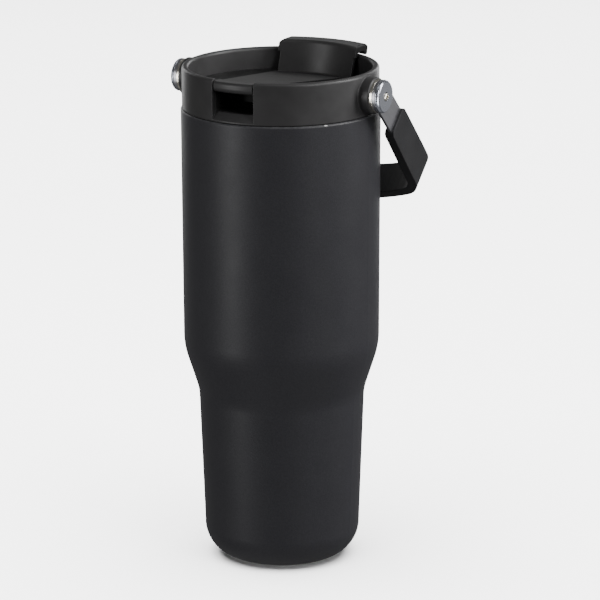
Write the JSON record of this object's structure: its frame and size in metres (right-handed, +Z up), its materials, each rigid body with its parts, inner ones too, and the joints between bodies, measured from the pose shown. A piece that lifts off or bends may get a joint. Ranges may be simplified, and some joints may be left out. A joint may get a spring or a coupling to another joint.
{
  "type": "insulated travel mug",
  "caption": "Tall double-wall steel travel mug with a tapered base, a screw lid with a flip flap over the drinking hole, and a swinging bail handle.",
  "frame": {"origin": "centre of the base, on the plane of the ring that the mug stands on", "axes": "+Z up along the mug's axis; the window and the flap hinge are at -Y, the thumb tab and the hanging handle at +Y; the handle turns about a line along X"},
  "size_m": [0.1114, 0.1081, 0.2388],
  "materials": {
    "powder_coat": "fine matte powder coat",
    "steel": "satin",
    "lid_plastic": "satin",
    "grip_rubber": "matte",
    "silicone": "matte",
    "sealing_compound": "dull grey",
    "brass": "machined"
  },
  "bodies": {
    "cup": {"outer_shell": "powder_coat", "inner_liner": "steel", "base_cap": "steel", "vacuum_seal": "sealing_compound", "getter": "steel"},
    "lid": {"lid_gasket": "silicone", "lid_collar": "lid_plastic", "lid_deck": "lid_plastic", "lid_plug": "lid_plastic", "flap_hinge_pin": "steel", "boss_insert_right": "brass", "pivot_washer_right": "steel", "pivot_bush_right": "brass", "pivot_disc_right": "steel", "pivot_screw_right": "steel", "boss_insert_left": "brass", "pivot_washer_left": "steel", "pivot_bush_left": "brass", "pivot_disc_left": "steel", "pivot_screw_left": "steel"},
    "flap": {"flap": "lid_plastic", "sip_stopper": "silicone", "vent_seal": "silicone"},
    "handle": {"handle_grip": "grip_rubber", "handle_bracket_right": "steel", "handle_bracket_left": "steel"}
  },
  "joints": [
    {"name": "lid_lift", "type": "slide", "parent": "cup", "child": "lid", "axis": [0, 0, 1], "range_m": [0, 0.045]},
    {"name": "flap_hinge", "type": "hinge", "parent": "lid", "child": "flap", "pos_m": [0, -0.042, 0.2317], "axis": [1, 0, 0], "range_deg": [0, 110]},
    {"name": "handle_swing", "type": "hinge", "parent": "lid", "child": "handle", "pos_m": [0, 0, 0.2252], "axis": [1, 0, 0], "range_deg": [0, 270]}
  ]
}
